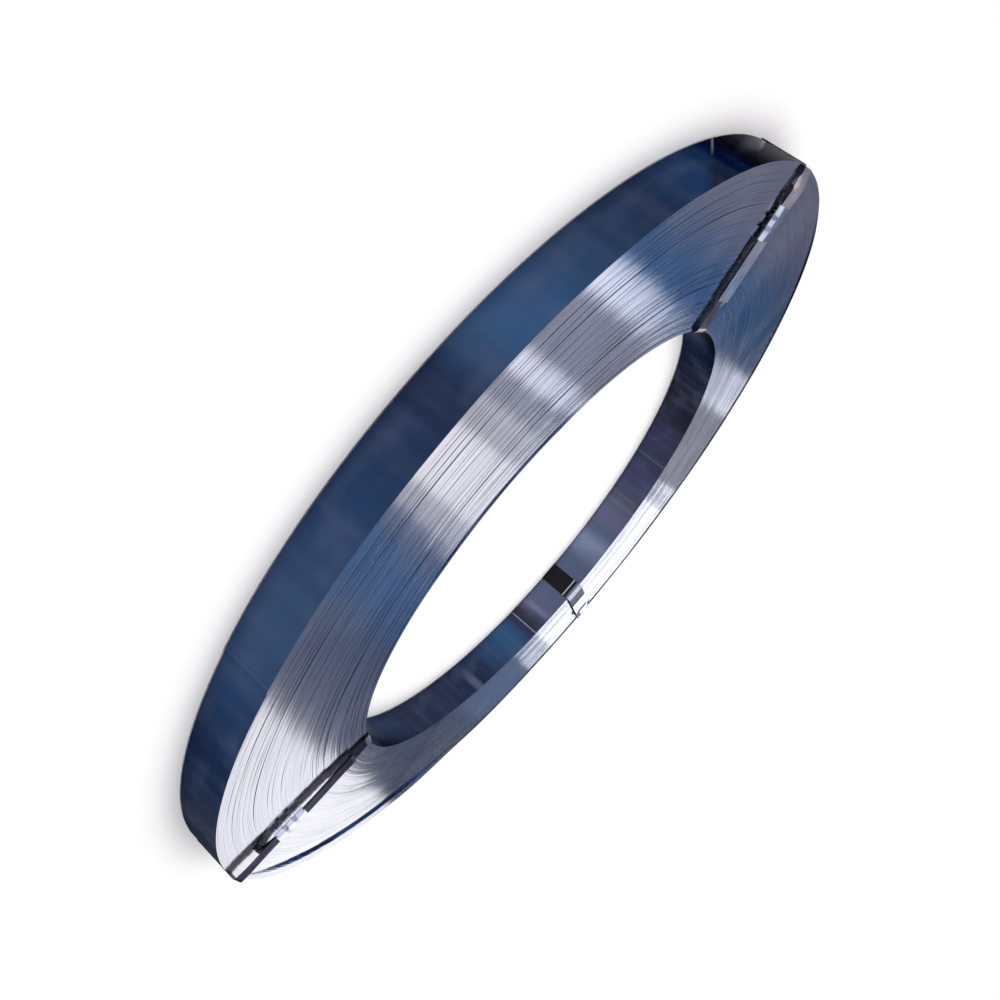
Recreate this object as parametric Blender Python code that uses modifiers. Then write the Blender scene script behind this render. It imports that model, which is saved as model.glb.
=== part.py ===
"""A coil of steel strapping, ribbon wound, lying flat and held by three crimped binding straps.

Metres, +Z up. The origin is on the floor under the middle of the coil. Azimuths are counted
counter-clockwise from +X, seen from above.
"""

import math

import bmesh
import bpy
from mathutils import Matrix, Vector

# The strip and the coil wound from it.
COIL_RADIUS = 0.3250
BORE_RADIUS = 0.2000
STRIP_WIDTH = 0.0320
STRIP_THICKNESS = 0.0009
COIL_STEPS = 96
OUTER_END_AZIMUTH = 296.25
INNER_END_AZIMUTH = 68.5

# Groups of turns stand at slightly different heights. They meet at these shares of the way
# from the bore to the rim.
GROUP_SHARES = (0.032, 0.088, 0.2, 0.312, 0.4, 0.52, 0.608, 0.696, 0.772, 0.844, 0.92)
TOP_RELIEF = 0.0005
BOTTOM_RELIEF = 0.0003
RELIEF_PHASE_STEP = 2.4

# The steps at the strip's two free ends are wedges set into the turned body.
WEDGE_ROOT = 0.0008
WEDGE_END_INSET = 0.0003
WEDGE_TAIL_THICKNESS = 0.00012
WEDGE_SPAN = 348.75
WEDGE_POINTS = 94
WELD_DISTANCE = 0.000001

# The binding straps.
BINDING_WIDTH = 0.0190
BINDING_THICKNESS = 0.0005
CLEARANCE = 0.0003
BORE_STAND_OFF = 0.00042
LAYER_GAP = 0.0003
CORNER_SEGMENTS = 4
SHOULDER_SEGMENTS = 6
RUN_SEGMENTS = 9
SHORT_RUN_SEGMENTS = 5
LOWER_TAIL_DROOP = 0.0004

# The crimped seals.
SEAL_SHEET = 0.0007
SEAL_LIP_GAP = 0.0040
SEAL_CORNER = 0.0008
SEAL_STATIONS = 9
SEAL_CRIMP_RISE = 0.00055
SEAL_CROWN_WIDTH = 0.0110
SEAL_CUTTER_HEIGHT = 0.0120
SEAL_NOTCH_LENGTH = 0.0046
SEAL_NOTCH_DEPTH = 0.0032

# One row for each binding. The azimuth comes first. Then, as shares of the way from the bore to
# the rim, the seal's two ends, the upper layer's free end, the lower layer's free end and the
# crest outside the seal. Then, in thicknesses of the strap, how high the upper layer runs over
# the coil's face at its free end, at the seal and at the crest.
BINDINGS = (
    dict(azimuth=205.5, seal_in=0.58, seal_out=0.78, upper_end=0.208, lower_end=0.892,
         crest=0.932, lift_end=6.6, lift_seal=6.4, lift_crest=7.6),
    dict(azimuth=338.5, seal_in=0.512, seal_out=0.712, upper_end=0.132, lower_end=0.832,
         crest=0.9, lift_end=6.0, lift_seal=8.4, lift_crest=10.2),
    dict(azimuth=84.2, seal_in=0.68, seal_out=0.88, upper_end=0.32, lower_end=0.924,
         crest=0.948, lift_end=5.2, lift_seal=6.0, lift_crest=7.2),
)

# Heights above the floor.
COIL_BOTTOM = BINDING_THICKNESS + CLEARANCE
COIL_TOP = COIL_BOTTOM + STRIP_WIDTH


def clear_scene():
    for obj in list(bpy.data.objects):
        bpy.data.objects.remove(obj, do_unlink=True)


def material(name, colour, roughness, metallic):
    found = bpy.data.materials.new(name)
    found.use_nodes = True
    shader = found.node_tree.nodes["Principled BSDF"]
    shader.inputs["Base Color"].default_value = (*colour, 1.0)
    shader.inputs["Roughness"].default_value = roughness
    shader.inputs["Metallic"].default_value = metallic
    return found


def add_object(name, mesh, collection, look=None, parent=None):
    obj = bpy.data.objects.new(name, mesh)
    collection.objects.link(obj)
    obj.parent = parent
    if look:
        mesh.materials.append(look)
    return obj


def face_radius(share):
    """The radius at a share of the way from the bore to the rim."""
    return BORE_RADIUS + (COIL_RADIUS - BORE_RADIUS) * share


def lifted(thicknesses):
    """The height of a point so many strap thicknesses above the coil's face."""
    return COIL_TOP + BINDING_THICKNESS * thicknesses


def turns_wound(azimuth, start):
    """How far round from the free end at azimuth start a place lies, from 0 to 1."""
    return ((azimuth - start) % 360.0) / 360.0


def bore_radius(azimuth):
    return BORE_RADIUS + STRIP_THICKNESS * turns_wound(azimuth, INNER_END_AZIMUTH)


def rim_radius(azimuth):
    return COIL_RADIUS - STRIP_THICKNESS * turns_wound(OUTER_END_AZIMUTH, azimuth)


# The coil.
def group_height(index, relief):
    """How far a group of turns stands below the tallest."""
    return relief * 0.5 * (1.0 - math.cos(RELIEF_PHASE_STEP * index))


def coil_profile():
    """The closed outline of the coil's section, down the outer side first."""
    inner = BORE_RADIUS + STRIP_THICKNESS
    outer = COIL_RADIUS - STRIP_THICKNESS
    radii = (inner, *map(face_radius, GROUP_SHARES), outer)
    top = []
    bottom = []
    for index, (start, end) in enumerate(zip(radii, radii[1:])):
        upper = COIL_TOP - group_height(index, TOP_RELIEF)
        lower = COIL_BOTTOM + group_height(index + 1, BOTTOM_RELIEF)
        top += [(start, upper), (end, upper)]
        bottom += [(start, lower), (end, lower)]
    return [top[-1], *reversed(bottom), *top[:-1]]


def turned_mesh(name, profile, steps):
    """A closed profile turned once round the vertical axis."""
    mesh = bpy.data.meshes.new(name)
    count = len(profile)
    edges = [(i, (i + 1) % count) for i in range(count)]
    mesh.from_pydata([(x, 0.0, z) for x, z in profile], edges, [])
    obj = bpy.data.objects.new(name, mesh)
    bpy.context.scene.collection.objects.link(obj)
    screw = obj.modifiers.new("turn", "SCREW")
    screw.angle = math.tau
    screw.steps = steps
    screw.render_steps = steps
    screw.use_merge_vertices = True
    screw.merge_threshold = 0.0001
    return obj


def wedge_outline(start, sign, outer):
    """A free end's wedge: full thickness at azimuth start, thinning as it goes round."""
    face = []
    root = []
    for index in range(WEDGE_POINTS):
        share = index / (WEDGE_POINTS - 1)
        azimuth = math.radians(start + sign * WEDGE_SPAN * share)
        thickness = STRIP_THICKNESS + (WEDGE_TAIL_THICKNESS - STRIP_THICKNESS) * share
        if outer:
            radius = COIL_RADIUS - STRIP_THICKNESS + thickness
            inside = COIL_RADIUS - STRIP_THICKNESS - WEDGE_ROOT
        else:
            radius = BORE_RADIUS + STRIP_THICKNESS - thickness
            inside = BORE_RADIUS + STRIP_THICKNESS + WEDGE_ROOT
        face.append((radius * math.cos(azimuth), radius * math.sin(azimuth)))
        root.append((inside * math.cos(azimuth), inside * math.sin(azimuth)))
    return face + root[::-1]


def extruded_outline(name, outline, bottom, top):
    """A flat outline made solid between two heights."""
    curve = bpy.data.curves.new(name, "CURVE")
    curve.dimensions = "2D"
    curve.fill_mode = "BOTH"
    curve.extrude = (top - bottom) / 2
    spline = curve.splines.new("POLY")
    spline.points.add(len(outline) - 1)
    for point, (x, y) in zip(spline.points, outline):
        point.co = (x, y, 0.0, 1.0)
    spline.use_cyclic_u = True
    obj = bpy.data.objects.new(name, curve)
    obj.location = (0.0, 0.0, (top + bottom) / 2)
    bpy.context.scene.collection.objects.link(obj)
    return obj


def mesh_from(obj, name, collection):
    """The evaluated mesh of a helper as an object of its own, welded, in the helper's place."""
    bpy.context.view_layer.update()
    evaluated = obj.evaluated_get(bpy.context.evaluated_depsgraph_get())
    mesh = bpy.data.meshes.new_from_object(evaluated)
    work = bmesh.new()
    work.from_mesh(mesh)
    bmesh.ops.remove_doubles(work, verts=work.verts, dist=WELD_DISTANCE)
    bmesh.ops.recalc_face_normals(work, faces=work.faces)
    work.to_mesh(mesh)
    work.free()
    made = bpy.data.objects.new(name, mesh)
    made.matrix_world = obj.matrix_world.copy()
    collection.objects.link(made)
    bpy.data.objects.remove(obj, do_unlink=True)
    return made


def build_coil(collection, helpers, look, parent):
    turned = turned_mesh("coil_turning", coil_profile(), COIL_STEPS)
    coil = mesh_from(turned, "coil", collection)
    coil.parent = parent
    coil.data.materials.clear()
    coil.data.materials.append(look)
    low = COIL_BOTTOM + WEDGE_END_INSET
    high = COIL_TOP - WEDGE_END_INSET
    ends = (
        ("outer_end", wedge_outline(OUTER_END_AZIMUTH, -1.0, True)),
        ("inner_end", wedge_outline(INNER_END_AZIMUTH, 1.0, False)),
    )
    for name, outline in ends:
        wedge = mesh_from(extruded_outline(name + "_outline", outline, low, high), name, helpers)
        wedge.hide_render = True
        wedge.display_type = "WIRE"
        join = coil.modifiers.new(name, "BOOLEAN")
        join.operation = "UNION"
        join.solver = "EXACT"
        join.object = wedge
    return coil


# The binding straps.
def arc_points(centre, radius, start, end, segments):
    """Points of an arc in the radial plane, angles in degrees from outward to up."""
    points = []
    for index in range(segments + 1):
        angle = math.radians(start + (end - start) * index / segments)
        points.append((centre[0] + radius * math.cos(angle), centre[1] + radius * math.sin(angle)))
    return points


def eased_run(start, end, segments, first=True):
    """Points from start to end whose height changes smoothly, level at both ends."""
    points = []
    for index in range(0 if first else 1, segments + 1):
        share = index / segments
        ease = share * share * (3.0 - 2.0 * share)
        points.append((start[0] + (end[0] - start[0]) * share, start[1] + (end[1] - start[1]) * ease))
    return points


def binding_path(row):
    """The strap's middle line in the radial plane, as distance from the axis and height."""
    half = BINDING_THICKNESS / 2
    offset = CLEARANCE + half
    rim = rim_radius(row["azimuth"])
    bore = bore_radius(row["azimuth"]) - BORE_STAND_OFF
    seal_in = face_radius(row["seal_in"])
    seal_out = face_radius(row["seal_out"])
    upper_seal = lifted(row["lift_seal"])
    lower_seal = upper_seal - BINDING_THICKNESS - LAYER_GAP
    crest = (face_radius(row["crest"]), lifted(row["lift_crest"]))
    shoulder = offset + (crest[1] - COIL_TOP) / 2

    # Upper layer: free end, seal, crest, then over the rim's edge in a loose shoulder.
    free_end = (face_radius(row["upper_end"]), lifted(row["lift_end"]))
    path = eased_run(free_end, (seal_in, upper_seal), RUN_SEGMENTS)
    path += [(seal_out, upper_seal)]
    path += eased_run((seal_out, upper_seal), crest, SHORT_RUN_SEGMENTS, first=False)
    turn_over = (rim + offset - shoulder, crest[1] - shoulder)
    path += arc_points(turn_over, shoulder, 90.0, 0.0, SHOULDER_SEGMENTS)
    # Down the rim, under the coil and up the bore.
    path += arc_points((rim, COIL_BOTTOM), offset, 0.0, -90.0, CORNER_SEGMENTS)
    path += arc_points((bore, COIL_BOTTOM), offset, -90.0, -180.0, CORNER_SEGMENTS)
    path += arc_points((bore, COIL_TOP), offset, 180.0, 90.0, CORNER_SEGMENTS)
    # Lower layer: from the bore's edge up to the seal, and on to its free end near the face.
    path += eased_run(path[-1], (seal_in, lower_seal), RUN_SEGMENTS, first=False)
    path += [(seal_out, lower_seal)]
    end = (face_radius(row["lower_end"]), COIL_TOP + offset + LOWER_TAIL_DROOP)
    path += eased_run((seal_out, lower_seal), end, SHORT_RUN_SEGMENTS, first=False)
    return path


def radial_frame(azimuth):
    """Places a piece drawn in the XZ plane, its width along Y, at an azimuth."""
    return Matrix.Rotation(math.radians(azimuth), 4, "Z")


def build_binding(number, row, collection, look, parent):
    """A ribbon along the path: an open strip with a Solidify for the strap's thickness."""
    path = binding_path(row)
    half = BINDING_WIDTH / 2
    points = []
    for radius, height in path:
        points += [(radius, -half, height), (radius, half, height)]
    faces = [(2 * i, 2 * i + 1, 2 * i + 3, 2 * i + 2) for i in range(len(path) - 1)]
    mesh = bpy.data.meshes.new(f"binding_strap_{number}")
    mesh.from_pydata(points, [], faces)
    strap = add_object(f"binding_strap_{number}", mesh, collection, look, parent)
    strap.matrix_local = radial_frame(row["azimuth"])
    solid = strap.modifiers.new("thickness", "SOLIDIFY")
    solid.thickness = BINDING_THICKNESS
    solid.offset = 0.0
    solid.use_even_offset = True
    return strap


# The seals.
def seal_section():
    """The seal's sheet round the two layers, as offsets across and up, from lip to lip."""
    wall = BINDING_WIDTH / 2 + CLEARANCE + SEAL_SHEET / 2
    rise = (2 * BINDING_THICKNESS + LAYER_GAP) / 2 + CLEARANCE + SEAL_SHEET / 2
    lip = SEAL_LIP_GAP / 2
    inset = SEAL_CORNER
    half = [(0.0, rise), (wall / 2, rise), (wall - inset, rise), (wall, rise - inset)]
    half += [(wall, inset - rise), (wall - inset, -rise), (wall / 2, -rise), (lip, -rise)]
    mirrored = [(-x, z) for x, z in reversed(half[1:])]
    return mirrored + half


def crimp_wave(share):
    """Two waves along the seal: full at its ends and middle, none at the two crimps."""
    return 0.5 * (1.0 + math.cos(4.0 * math.pi * share))


def build_seal(number, row, collection, helpers, look, parent):
    section = seal_section()
    seal_in = face_radius(row["seal_in"])
    seal_out = face_radius(row["seal_out"])
    length = seal_out - seal_in
    middle = lifted(row["lift_seal"]) - (BINDING_THICKNESS + LAYER_GAP) / 2
    points = []
    for station in range(SEAL_STATIONS):
        share = station / (SEAL_STATIONS - 1)
        for across, up in section:
            crown = up > 0.0 and abs(across) < SEAL_CROWN_WIDTH / 2
            rise = SEAL_CRIMP_RISE * crimp_wave(share) if crown else 0.0
            points.append(((share - 0.5) * length, across, up + rise))
    wide = len(section)
    faces = []
    for station in range(SEAL_STATIONS - 1):
        for index in range(wide - 1):
            first = station * wide + index
            faces.append((first, first + wide, first + wide + 1, first + 1))
    mesh = bpy.data.meshes.new(f"binding_seal_{number}")
    mesh.from_pydata(points, [], faces)
    seal = add_object(f"binding_seal_{number}", mesh, collection, look, parent)
    place = Matrix.Translation(Vector(((seal_in + seal_out) / 2, 0.0, middle)))
    seal.matrix_local = radial_frame(row["azimuth"]) @ place
    solid = seal.modifiers.new("sheet", "SOLIDIFY")
    solid.thickness = SEAL_SHEET
    solid.offset = 0.0
    solid.use_even_offset = True

    # A notch is crimped into each long side at mid length.
    wall = BINDING_WIDTH / 2 + CLEARANCE + SEAL_SHEET
    for side, word in ((-1.0, "a"), (1.0, "b")):
        bpy.ops.mesh.primitive_cube_add(size=1.0)
        cutter = bpy.context.active_object
        cutter.name = f"seal_notch_{number}_{word}"
        for owner in list(cutter.users_collection):
            owner.objects.unlink(cutter)
        helpers.objects.link(cutter)
        size = (SEAL_NOTCH_LENGTH, SEAL_NOTCH_DEPTH * 2, SEAL_CUTTER_HEIGHT, 1.0)
        cutter.data.transform(Matrix.Diagonal(size))
        cutter.parent = parent
        offset = Matrix.Translation(Vector((0.0, side * wall, 0.0)))
        cutter.matrix_local = seal.matrix_local @ offset
        cutter.hide_render = True
        cutter.display_type = "WIRE"
        cut = seal.modifiers.new(f"notch_{word}", "BOOLEAN")
        cut.operation = "DIFFERENCE"
        cut.solver = "EXACT"
        cut.object = cutter
    return seal


def main():
    clear_scene()
    scene = bpy.context.scene
    collection = bpy.data.collections.new("steel_strapping_coil")
    helpers = bpy.data.collections.new("helpers")
    scene.collection.children.link(collection)
    scene.collection.children.link(helpers)

    edges = material("slit_edge_steel", (0.46, 0.47, 0.55), 0.32, 1.0)
    binding_look = material("binding_steel", (0.36, 0.35, 0.40), 0.28, 1.0)
    seal_look = material("seal_zinc", (0.62, 0.64, 0.72), 0.30, 1.0)

    root = bpy.data.objects.new("steel_strapping_coil", None)
    collection.objects.link(root)

    coil = build_coil(collection, helpers, edges, root)
    coil.data.shade_smooth()
    coil.data.set_sharp_from_angle(angle=math.radians(30.0))
    for number, row in enumerate(BINDINGS, start=1):
        build_binding(number, row, collection, binding_look, root)
        build_seal(number, row, collection, helpers, seal_look, root)


main()
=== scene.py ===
"""Looks of the steel strapping coil: the wound strip turn by turn, its bindings and seals.

Metres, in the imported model's frame. Azimuths are in degrees, counter-clockwise from +X. A share
of the face is counted from the bore to the rim. A value's FROM and UNTIL pairs are where its step
up and its step down begin and end.
"""

import math
import random

import bpy
from mathutils import Matrix, Vector


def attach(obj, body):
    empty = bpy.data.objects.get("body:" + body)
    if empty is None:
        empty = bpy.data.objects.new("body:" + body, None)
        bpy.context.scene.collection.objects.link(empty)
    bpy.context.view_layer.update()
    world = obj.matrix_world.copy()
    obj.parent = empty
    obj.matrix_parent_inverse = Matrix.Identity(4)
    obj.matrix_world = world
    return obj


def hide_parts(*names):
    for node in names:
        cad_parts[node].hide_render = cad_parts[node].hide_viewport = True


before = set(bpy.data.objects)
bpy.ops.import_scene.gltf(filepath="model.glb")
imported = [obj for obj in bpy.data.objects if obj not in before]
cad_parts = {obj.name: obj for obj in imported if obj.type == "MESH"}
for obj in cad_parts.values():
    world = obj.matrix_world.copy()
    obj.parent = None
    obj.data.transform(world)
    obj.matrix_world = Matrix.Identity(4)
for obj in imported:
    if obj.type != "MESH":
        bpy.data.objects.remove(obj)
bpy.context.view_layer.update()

# The coil, as in the CAD source.
COIL_RADIUS = 0.3250
BORE_RADIUS = 0.2000
STRIP_WIDTH = 0.0320
STRIP_PITCH_CAD = 0.0009
OUTER_END_AZIMUTH = 296.25
INNER_END_AZIMUTH = 68.5
GROUP_SHARES = (0.032, 0.088, 0.2, 0.312, 0.4, 0.52, 0.608, 0.696, 0.772, 0.844, 0.92)
TOP_RELIEF = 0.0005
BOTTOM_RELIEF = 0.0003
RELIEF_PHASE_STEP = 2.4

# The bindings and seals, as in the CAD source, and after the bow the looks' own values. Places
# are shares of the face, lifts are in strap thicknesses and the twist is in degrees. A bow is its
# radius, how far it bulges into the bore and how high its top stands. A steel is a dark and a
# light tone; the three are lit and shaded copies of one steel, painted for how light falls on each
# strap, and edge_on turns its edge-on shine down as painted shade.
BINDING_WIDTH = 0.0190
BINDING_THICKNESS = 0.0005
CLEARANCE = 0.0003
BORE_STAND_OFF = 0.00042
LAYER_GAP = 0.0003
LOWER_TAIL_DROOP = 0.0004
SEAL_SHEET = 0.0007
# One strap steel in lit and shaded copies, one for each strap, painted lighter, darker and tinted for how
# light falls on it.
BROWN_STEEL = ((0.40, 0.365, 0.375), (0.54, 0.50, 0.51))
PLAIN_STEEL = ((0.23, 0.225, 0.29), (0.33, 0.325, 0.40))
BLUISH_STEEL = ((0.24, 0.27, 0.36), (0.38, 0.42, 0.54))
BINDINGS = (
    dict(azimuth=205.5, seal_in=0.58, seal_out=0.78, upper_end=0.208, lower_end=0.892,
         crest=0.90, lift_end=6.6, lift_seal=6.4, lift_crest=7.4, lift_corner=3.6,
         bow=(0.0050, 0.0014, 0.0022), twist=-4.5, fold=0.20,
         steel=BROWN_STEEL, edge_on=0.15, bright_from=0.20),
    dict(azimuth=338.5, seal_in=0.512, seal_out=0.712, upper_end=0.132, lower_end=0.832,
         crest=0.93, lift_end=6.0, lift_seal=8.4, lift_crest=9.6, lift_corner=9.4,
         bow=(0.0020, 0.0009, 0.0012), twist=-1.0, fold=0.0,
         steel=PLAIN_STEEL, edge_on=0.12, bright_from=2.0),
    dict(azimuth=84.2, seal_in=0.68, seal_out=0.88, upper_end=0.32, lower_end=0.924,
         crest=0.93, lift_end=5.2, lift_seal=6.0, lift_crest=7.2, lift_corner=5.0,
         bow=(0.0050, 0.0016, 0.0026), twist=0.0, fold=0.0,
         steel=BLUISH_STEEL, edge_on=0.12, bright_from=0.34),
)
SQUEEZE = 0.45
SHOULDER_RADIUS = 0.0015
BOW_LEAD = 0.0080
END_CURL = 0.00045
END_CURL_LENGTH = 0.0014
COIL_BOTTOM = BINDING_THICKNESS + CLEARANCE
COIL_TOP = COIL_BOTTOM + STRIP_WIDTH

# The strap's form, in shares of the face: in the seal's mouths, where it leans and is creased.
SEAL_MOUTH = (0.004, 0.03)
LEAN_FROM = (0.14, 0.24)
LEAN_UNTIL = (0.86, 0.99)
CREASE_FROM = (0.874, 0.886)
CREASE_UNTIL = (0.937, 0.951)
CLEAR_OF_FACE = 0.0012
STRAP_EDGE_ROUND = 0.00012
# The segments of the strap's middle line, run by run.
RUN_STEPS = 24
SEAL_STEPS = 8
TAIL_STEPS = 10
CREST_STEPS = 5
LEAD_STEPS = 7
CORNER_STEPS = 8
BOW_STEPS = 12

# A seal's plates. A panel or crimp is where it begins and ends along the seal and its heights
# there, a flap its side and height, and a flap's corner how it moves along, out and up.
SEAL_PANELS = ((0.0, 0.29, 0.98, 1.30), (0.39, 0.61, 0.95, 0.95), (0.71, 1.0, 1.34, 0.98))
SEAL_CRIMPS = ((0.29, 0.39, 1.30, 0.95), (0.61, 0.71, 0.95, 1.34))
PANEL_ROOF = 0.56
PANEL_FOOT = -0.55
FLANGE_END = (0.2, -1.05)
CRIMP_ROOF = 0.4
CRIMP_FLAPS = ((-1, 0.1), (1, 0.3))
FLAP_NEAR = (-0.02, 1.18, 0.0)
FLAP_FAR = (0.03, 1.22, -0.5)

# The strip as it is wound here, one turn after another.
STRIP_THICKNESS = 0.00086
STEPS_PER_TURN = 225
SPLIT_TURN = 70.0
SECTION_POINTS = 6
FACE_SIDES = (0, 4)
EDGE_BEVEL = 0.000012
HEIGHT_JITTER = 0.00001
TILT_JITTER = 0.010
TILT_SHARE = 0.25
BUNCH_SIZES = (1, 2, 2, 3, 3, 4, 5)
BUNCH_STEP = (0.00004, 0.00024)
SMALL_STEP_POWER = 3
DEEP_STEP_SHARES = (0.033, 0.09, 0.199, 0.314, 0.399, 0.608, 0.696, 0.844, 0.906)
DEEP_STEP = 0.00016
DEEP_STEP_SPREAD = (0.8, 1.2)
RELIEF_KEPT = 0.35
WAVE_HEIGHT = 0.00005
WAVES = (11, 22)
WAVE_PHASE_JITTER = 0.4
SPIRAL_TURNS = (
    round((COIL_RADIUS - BORE_RADIUS) / STRIP_PITCH_CAD - 1.0)
    + ((OUTER_END_AZIMUTH - INNER_END_AZIMUTH) % 360.0) / 360.0
)
SPIRAL_PITCH = (COIL_RADIUS - BORE_RADIUS - STRIP_THICKNESS) / SPIRAL_TURNS

# The outer lip. It rises and ends so many degrees past its start, and its edge is a line that
# moves in from the rim, given in shares of the face.
LIP_START = 330.0
LIP_FROM = (6.0, 32.0)
LIP_UNTIL = (62.0, 78.0)
LIP_RISE = 0.0013
LIP_DIP = 0.0012
LIP_DIP_WIDTH = 0.10
LIP_EDGE_START = 8.0
LIP_EDGE_LENGTH = 50.0
LIP_EDGE_AT_RIM = 0.987
LIP_EDGE_MOVE = 0.117
LIP_EDGE_INSIDE = 0.010
LIP_EDGE_OUTSIDE = 0.008
# The inner lip by azimuth, and the outermost and innermost turns, which stand up at the back.
INNER_LIP_FROM = (246.0, 256.0)
INNER_LIP_UNTIL = (282.0, 296.0)
INNER_LIP_EDGE = (0.012, 0.020)
INNER_LIP_RISE = 0.0004
EDGE_TURN_RISE = 0.0009
EDGE_TURN_FRONT = 295.0
EDGE_TURN_FADE = (60.0, 72.0)
OUTERMOST_TURN = (0.984, 0.988)
INNERMOST_TURN = (0.003, 0.008)
INNERMOST_SHARE = 0.3

# The camera, worked out from the photograph: where it stands and how it is turned, in radians.
CAMERA_LENS = 33.95
SENSOR_WIDTH = 36.0
CAMERA_ELEVATION = 0.2154
CAMERA_DISTANCE = 0.7410
CAMERA_YAW = -0.0039
CAMERA_PITCH = 0.0758
CAMERA_ROLL = -2.2592
CAMERA_FOOT = (0.0, -CAMERA_DISTANCE * math.cos(CAMERA_ELEVATION))
CAMERA_CLIP = (0.01, 100.0)

# The studio. Elevations and bearings are in degrees, and bearings go from +Y towards +X.
WHITE = (1.0, 1.0, 1.0)
BLACK = (0.0, 0.0, 0.0)
FLOOR_SIZE = 16.0
FLOOR_COLOURS = ((0.955, 0.955, 0.955), (0.97, 0.97, 0.97))
FLOOR_GRAIN = (2.0, 140.0)
FLOOR_TONES = (0.3, 0.7)
FADE_WIDTH = 0.05
BACKDROP_FADE = (0.2, 2.2)
WALL_FADE = (32.0, 44.0)
WALL_SPAN = 30.0
DIM_FOOT = (8.0, 16.0)
DIM_SHARE = 0.72
CEILING = (0.18, 0.18, 0.20)
GREY_WALL = (0.28, 0.30, 0.41)
LEFT_WALL = (0.36, 0.37, 0.48)
BLUE_WALL = (0.08, 0.23, 0.50)
PALE_WALL = (0.32, 0.33, 0.45)
DIM_WALL = (0.20, 0.26, 0.39)
WALLS = (
    (-22.5, LEFT_WALL), (-18.2, BLUE_WALL), (-16.5, BLUE_WALL), (-13.0, PALE_WALL), (2.5, PALE_WALL),
    (7.0, BLUE_WALL), (9.5, BLUE_WALL), (12.0, DIM_WALL), (18.0, GREY_WALL),
)
WARM_LIGHT = (1.0, 0.955, 0.85)
AMBER_LIGHT = (1.0, 0.88, 0.78)
COOL_LIGHT = (0.62, 0.72, 1.0)
OVERHEAD_PLACE = (0.0, 0.1, 2.2)
OVERHEAD_SIZE = (3.6, 3.6)
OVERHEAD_BRIGHTNESS = 1.75
OVERHEAD_COLOUR = (1.0, 0.97, 0.93)
LAMP_DISTANCE = 4.0
# Lamps behind the coil, seen from the camera's foot: bearing, width, lowest and highest
# elevation, brightness and colour.
BACK_LAMPS = {
    "back_middle": (-0.1, 4.6, 13.0, 33.0, 1.15, WARM_LIGHT),
    "back_middle_wide": (-0.4, 9.0, 13.0, 33.0, 0.65, WARM_LIGHT),
    "back_middle_step": (-0.6, 10.4, 8.0, 12.5, 2.5, WHITE),
    "back_middle_low": (-0.4, 14.0, 1.0, 8.0, 3.2, WHITE),
    "back_right": (23.0, 9.2, 12.0, 33.0, 1.8, WARM_LIGHT),
    "back_right_low": (22.4, 9.3, 3.0, 12.0, 2.15, WARM_LIGHT),
    "side_left": (-39.0, 8.0, 2.0, 14.0, 2.0, WHITE),
    "back_left": (-15.2, 2.6, 14.0, 30.0, 2.0, WHITE),
    "back_left_low": (-13.9, 2.6, 4.0, 10.5, 1.5, WHITE),
    "back_left_warm": (-24.0, 16.0, 24.0, 36.0, 0.6, AMBER_LIGHT),
    "back_left_line": (-7.9, 1.8, 14.0, 30.0, 1.6, WHITE),
    "back_left_haze": (-8.5, 9.0, 15.0, 30.0, 0.25, WHITE),
    "back_left_haze_low": (-10.0, 6.4, 4.0, 14.0, 0.34, WHITE),
    "back_right_haze_low": (8.6, 4.4, 4.0, 12.6, 0.15, COOL_LIGHT),
}
# Lamps at the sides and behind the camera, seen from the coil: bearing, width and brightness.
ROUND_LAMPS = (
    (62.0, 8.0, 1.3), (84.0, 12.0, 1.8), (112.0, 8.0, 1.2), (138.0, 12.0, 1.8), (168.0, 8.0, 1.3),
    (-62.0, 8.0, 1.2), (-86.0, 12.0, 1.8), (-110.0, 7.0, 1.2), (-134.0, 12.0, 1.7), (-163.0, 9.0, 1.3),
)
ROUND_LAMP_RISE = (9.0, 36.0)
ROUND_LAMP_FOOT = (0.0, 0.0)
SEED = 29
SHARP_ANGLE = 30.0

# Tints of the strip's face, from nearly black to bright blue and grey. The black stops are painted
# shade, the brown stops a painted shadow beside the inner strip end and the streak stop a painted
# highlight in the bore.
BLACK_TINT = (0.016, 0.017, 0.032)
DEEP_TINT = (0.017, 0.027, 0.065)
MIDDLE_TINT = (0.020, 0.045, 0.115)
BRIGHT_TINT = (0.034, 0.088, 0.200)
SOFT_TINT = (0.036, 0.070, 0.150)
GREY_TINT = (0.035, 0.040, 0.070)
SLATE_TINT = (0.085, 0.110, 0.190)
LAVENDER_TINT = (0.115, 0.120, 0.215)
# A painted shadow beside the inner strip end.
END_SHADOW_TINT = (0.032, 0.030, 0.052)
PURPLE_TINT = (0.038, 0.038, 0.090)
# A painted highlight streak in the bore.
HIGHLIGHT_STREAK_TINT = (0.200, 0.235, 0.370)
VIVID_TINT = (0.070, 0.170, 0.460)
DUSK_TINT = (0.075, 0.078, 0.125)
PLUM_TINT = (0.050, 0.054, 0.115)
MOTTLE_TINT = (0.05, 0.06, 0.10)
WORN_TINT = (0.12, 0.14, 0.24)
# The colour of the painted highlights.
GLINT_COLOUR = (0.55, 0.56, 0.62)
# The upright lines' colour: partly scratches, partly painted highlights.
LINE_COLOUR = (0.44, 0.50, 0.70)
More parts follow.
